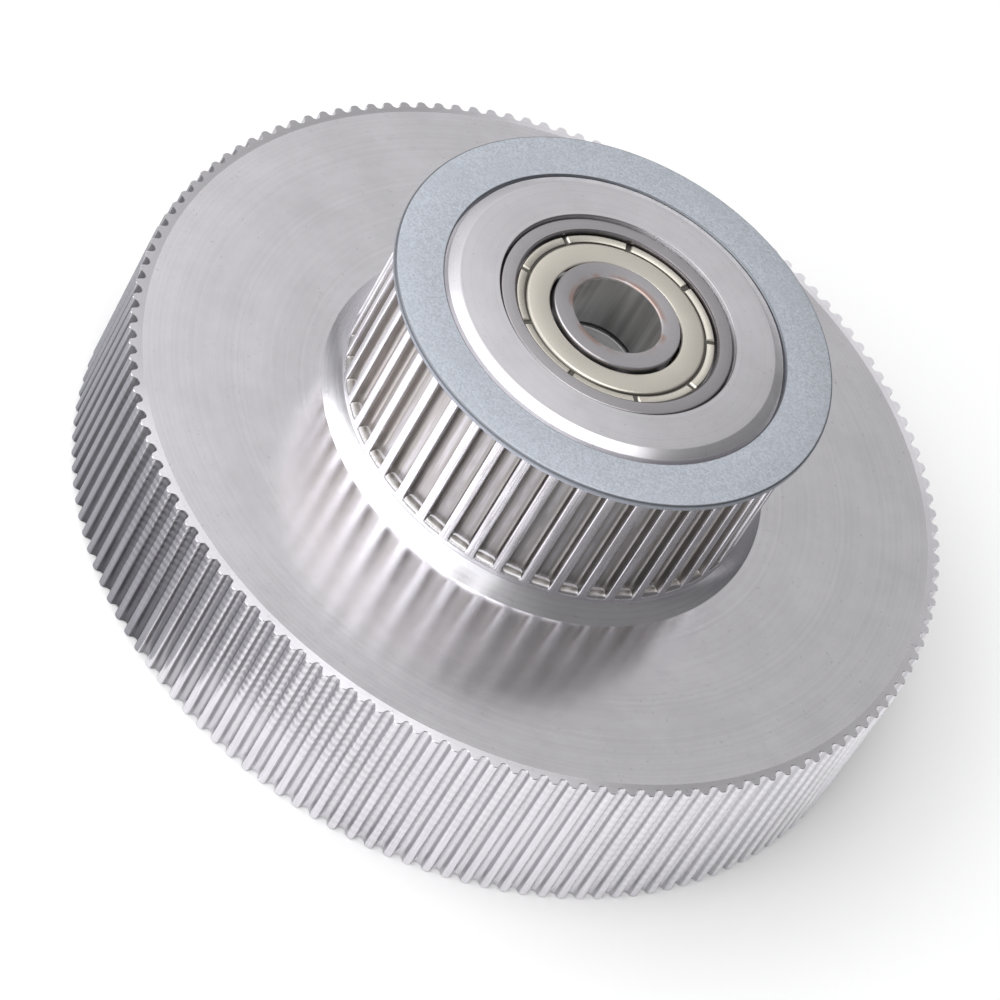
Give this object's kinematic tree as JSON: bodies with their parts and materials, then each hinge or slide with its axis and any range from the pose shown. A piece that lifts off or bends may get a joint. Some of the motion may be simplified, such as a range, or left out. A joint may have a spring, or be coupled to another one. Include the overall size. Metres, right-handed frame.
{
  "type": "two-stage belt wheel",
  "caption": "Two-stage timing-belt reduction wheel: large toothed wheel, smaller flanged toothed wheel on its hub, idling on shielded ball bearings",
  "frame": {"origin": "centre of the large wheel's back face, on the axle's axis", "axes": "+Z along the axle towards the small wheel and its flange; X and Y across the wheel, with a large groove centred on +X"},
  "size_m": [0.0854, 0.0854, 0.0362],
  "materials": {
    "aluminium_body": "satin turned",
    "zinc_flange": "matte zinc plate",
    "ring_steel": "ground",
    "shield_steel": "satin",
    "cage_steel": "stamped",
    "ball_steel": "polished",
    "sleeve_aluminium": "turned"
  },
  "bodies": {
    "axle_seat": {"front_bearing_inner_ring": "ring_steel", "rear_bearing_inner_ring": "ring_steel", "spacer_sleeve": "sleeve_aluminium"},
    "belt_wheel": {"pulley_body": "aluminium_body", "flange": "zinc_flange", "front_bearing_outer_ring": "ring_steel", "front_bearing_upper_shield": "shield_steel", "front_bearing_lower_shield": "shield_steel", "rear_bearing_outer_ring": "ring_steel", "rear_bearing_upper_shield": "shield_steel", "rear_bearing_lower_shield": "shield_steel"},
    "front_cage": {"front_bearing_upper_cage_half": "cage_steel", "front_bearing_lower_cage_half": "cage_steel"},
    "rear_cage": {"rear_bearing_upper_cage_half": "cage_steel", "rear_bearing_lower_cage_half": "cage_steel"},
    "front_ball_1": {"front_bearing_ball_1": "ball_steel"},
    "front_ball_2": {"front_bearing_ball_2": "ball_steel"},
    "front_ball_3": {"front_bearing_ball_3": "ball_steel"},
    "front_ball_4": {"front_bearing_ball_4": "ball_steel"},
    "front_ball_5": {"front_bearing_ball_5": "ball_steel"},
    "front_ball_6": {"front_bearing_ball_6": "ball_steel"},
    "front_ball_7": {"front_bearing_ball_7": "ball_steel"},
    "rear_ball_1": {"rear_bearing_ball_1": "ball_steel"},
    "rear_ball_2": {"rear_bearing_ball_2": "ball_steel"},
    "rear_ball_3": {"rear_bearing_ball_3": "ball_steel"},
    "rear_ball_4": {"rear_bearing_ball_4": "ball_steel"},
    "rear_ball_5": {"rear_bearing_ball_5": "ball_steel"},
    "rear_ball_6": {"rear_bearing_ball_6": "ball_steel"},
    "rear_ball_7": {"rear_bearing_ball_7": "ball_steel"}
  },
  "joints": [
    {"name": "belt_wheel_spin", "type": "hinge", "parent": "axle_seat", "child": "belt_wheel", "pos_m": [0, 0, 0.018], "axis": [0, 0, 1], "continuous": true},
    {"name": "front_cage_spin", "type": "hinge", "parent": "axle_seat", "child": "front_cage", "pos_m": [0, 0, 0.0325], "axis": [0, 0, 1], "continuous": true},
    {"name": "rear_cage_spin", "type": "hinge", "parent": "axle_seat", "child": "rear_cage", "pos_m": [0, 0, 0.00375], "axis": [0, 0, 1], "continuous": true},
    {"name": "front_ball_1_roll", "type": "hinge", "parent": "front_cage", "child": "front_ball_1", "pos_m": [0.008, 0, 0.0325], "axis": [0, 0, 1], "continuous": true},
    {"name": "front_ball_2_roll", "type": "hinge", "parent": "front_cage", "child": "front_ball_2", "pos_m": [0.00499, 0.00625, 0.0325], "axis": [0, 0, 1], "continuous": true},
    {"name": "front_ball_3_roll", "type": "hinge", "parent": "front_cage", "child": "front_ball_3", "pos_m": [-0.00178, 0.0078, 0.0325], "axis": [0, 0, 1], "continuous": true},
    {"name": "front_ball_4_roll", "type": "hinge", "parent": "front_cage", "child": "front_ball_4", "pos_m": [-0.00721, 0.00347, 0.0325], "axis": [0, 0, 1], "continuous": true},
    {"name": "front_ball_5_roll", "type": "hinge", "parent": "front_cage", "child": "front_ball_5", "pos_m": [-0.00721, -0.00347, 0.0325], "axis": [0, 0, 1], "continuous": true},
    {"name": "front_ball_6_roll", "type": "hinge", "parent": "front_cage", "child": "front_ball_6", "pos_m": [-0.00178, -0.0078, 0.0325], "axis": [0, 0, 1], "continuous": true},
    {"name": "front_ball_7_roll", "type": "hinge", "parent": "front_cage", "child": "front_ball_7", "pos_m": [0.00499, -0.00625, 0.0325], "axis": [0, 0, 1], "continuous": true},
    {"name": "rear_ball_1_roll", "type": "hinge", "parent": "rear_cage", "child": "rear_ball_1", "pos_m": [0.008, 0, 0.00375], "axis": [0, 0, 1], "continuous": true},
    {"name": "rear_ball_2_roll", "type": "hinge", "parent": "rear_cage", "child": "rear_ball_2", "pos_m": [0.00499, 0.00625, 0.00375], "axis": [0, 0, 1], "continuous": true},
    {"name": "rear_ball_3_roll", "type": "hinge", "parent": "rear_cage", "child": "rear_ball_3", "pos_m": [-0.00178, 0.0078, 0.00375], "axis": [0, 0, 1], "continuous": true},
    {"name": "rear_ball_4_roll", "type": "hinge", "parent": "rear_cage", "child": "rear_ball_4", "pos_m": [-0.00721, 0.00347, 0.00375], "axis": [0, 0, 1], "continuous": true},
    {"name": "rear_ball_5_roll", "type": "hinge", "parent": "rear_cage", "child": "rear_ball_5", "pos_m": [-0.00721, -0.00347, 0.00375], "axis": [0, 0, 1], "continuous": true},
    {"name": "rear_ball_6_roll", "type": "hinge", "parent": "rear_cage", "child": "rear_ball_6", "pos_m": [-0.00178, -0.0078, 0.00375], "axis": [0, 0, 1], "continuous": true},
    {"name": "rear_ball_7_roll", "type": "hinge", "parent": "rear_cage", "child": "rear_ball_7", "pos_m": [0.00499, -0.00625, 0.00375], "axis": [0, 0, 1], "continuous": true}
  ],
  "couplings": [
    {"joint": "front_cage_spin", "follows": "belt_wheel_spin", "ratio": 0.62403},
    {"joint": "rear_cage_spin", "follows": "belt_wheel_spin", "ratio": 0.62403},
    {"joint": "front_ball_1_roll", "follows": "belt_wheel_spin", "ratio": 1.8916},
    {"joint": "front_ball_2_roll", "follows": "belt_wheel_spin", "ratio": 1.8916},
    {"joint": "front_ball_3_roll", "follows": "belt_wheel_spin", "ratio": 1.8916},
    {"joint": "front_ball_4_roll", "follows": "belt_wheel_spin", "ratio": 1.8916},
    {"joint": "front_ball_5_roll", "follows": "belt_wheel_spin", "ratio": 1.8916},
    {"joint": "front_ball_6_roll", "follows": "belt_wheel_spin", "ratio": 1.8916},
    {"joint": "front_ball_7_roll", "follows": "belt_wheel_spin", "ratio": 1.8916},
    {"joint": "rear_ball_1_roll", "follows": "belt_wheel_spin", "ratio": 1.8916},
    {"joint": "rear_ball_2_roll", "follows": "belt_wheel_spin", "ratio": 1.8916},
    {"joint": "rear_ball_3_roll", "follows": "belt_wheel_spin", "ratio": 1.8916},
    {"joint": "rear_ball_4_roll", "follows": "belt_wheel_spin", "ratio": 1.8916},
    {"joint": "rear_ball_5_roll", "follows": "belt_wheel_spin", "ratio": 1.8916},
    {"joint": "rear_ball_6_roll", "follows": "belt_wheel_spin", "ratio": 1.8916},
    {"joint": "rear_ball_7_roll", "follows": "belt_wheel_spin", "ratio": 1.8916}
  ]
}
